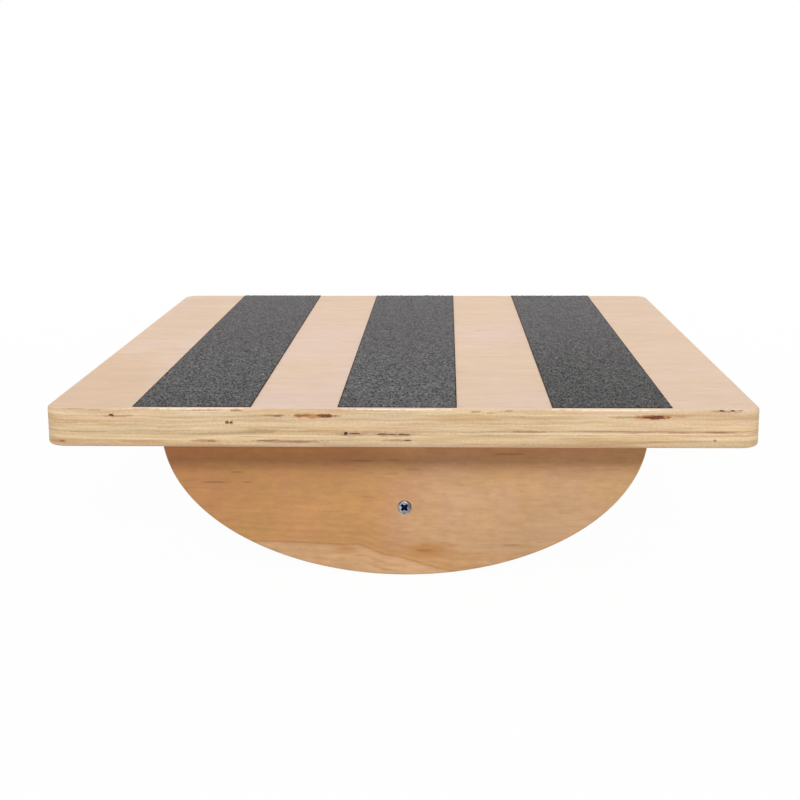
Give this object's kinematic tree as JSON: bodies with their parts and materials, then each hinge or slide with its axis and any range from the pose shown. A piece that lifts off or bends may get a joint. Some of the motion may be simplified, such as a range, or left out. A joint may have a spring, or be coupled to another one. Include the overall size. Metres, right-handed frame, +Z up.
{
  "type": "rocker balance board",
  "caption": "Low wooden rocker balance board: a flat plywood deck with grip strips on half-ellipse rockers tied by a round crossbar.",
  "frame": {"origin": "centre of the board on the floor, under the middle of the two rockers", "axes": "+Z up; +X across the board, the way it rocks; +Y along its long side, from the front to the rear"},
  "size_m": [0.34, 0.4, 0.0951],
  "materials": {
    "deck_plywood": "pale satin-sealed veneer with bare sanded ply edges",
    "rocker_plywood": "warm softwood veneer, satin-sealed",
    "crossbar_wood": "sanded round hardwood bar",
    "dowel_wood": "plain hardwood pins",
    "grip_strip": "dark grey mineral grit on adhesive film",
    "screw_steel": "blue-white zinc plate"
  },
  "bodies": {
    "root": {"deck": "deck_plywood", "rocker_front": "rocker_plywood", "rocker_rear": "rocker_plywood", "crossbar": "crossbar_wood", "grip_strip_left": "grip_strip", "grip_strip_middle": "grip_strip", "grip_strip_right": "grip_strip", "deck_screw_front_left": "screw_steel", "deck_screw_front_middle": "screw_steel", "deck_screw_front_right": "screw_steel", "deck_screw_rear_left": "screw_steel", "deck_screw_rear_middle": "screw_steel", "deck_screw_rear_right": "screw_steel", "crossbar_screw_front": "screw_steel", "crossbar_screw_rear": "screw_steel", "dowel_front_left": "dowel_wood", "dowel_front_right": "dowel_wood", "dowel_rear_left": "dowel_wood", "dowel_rear_right": "dowel_wood"}
  },
  "joints": []
}
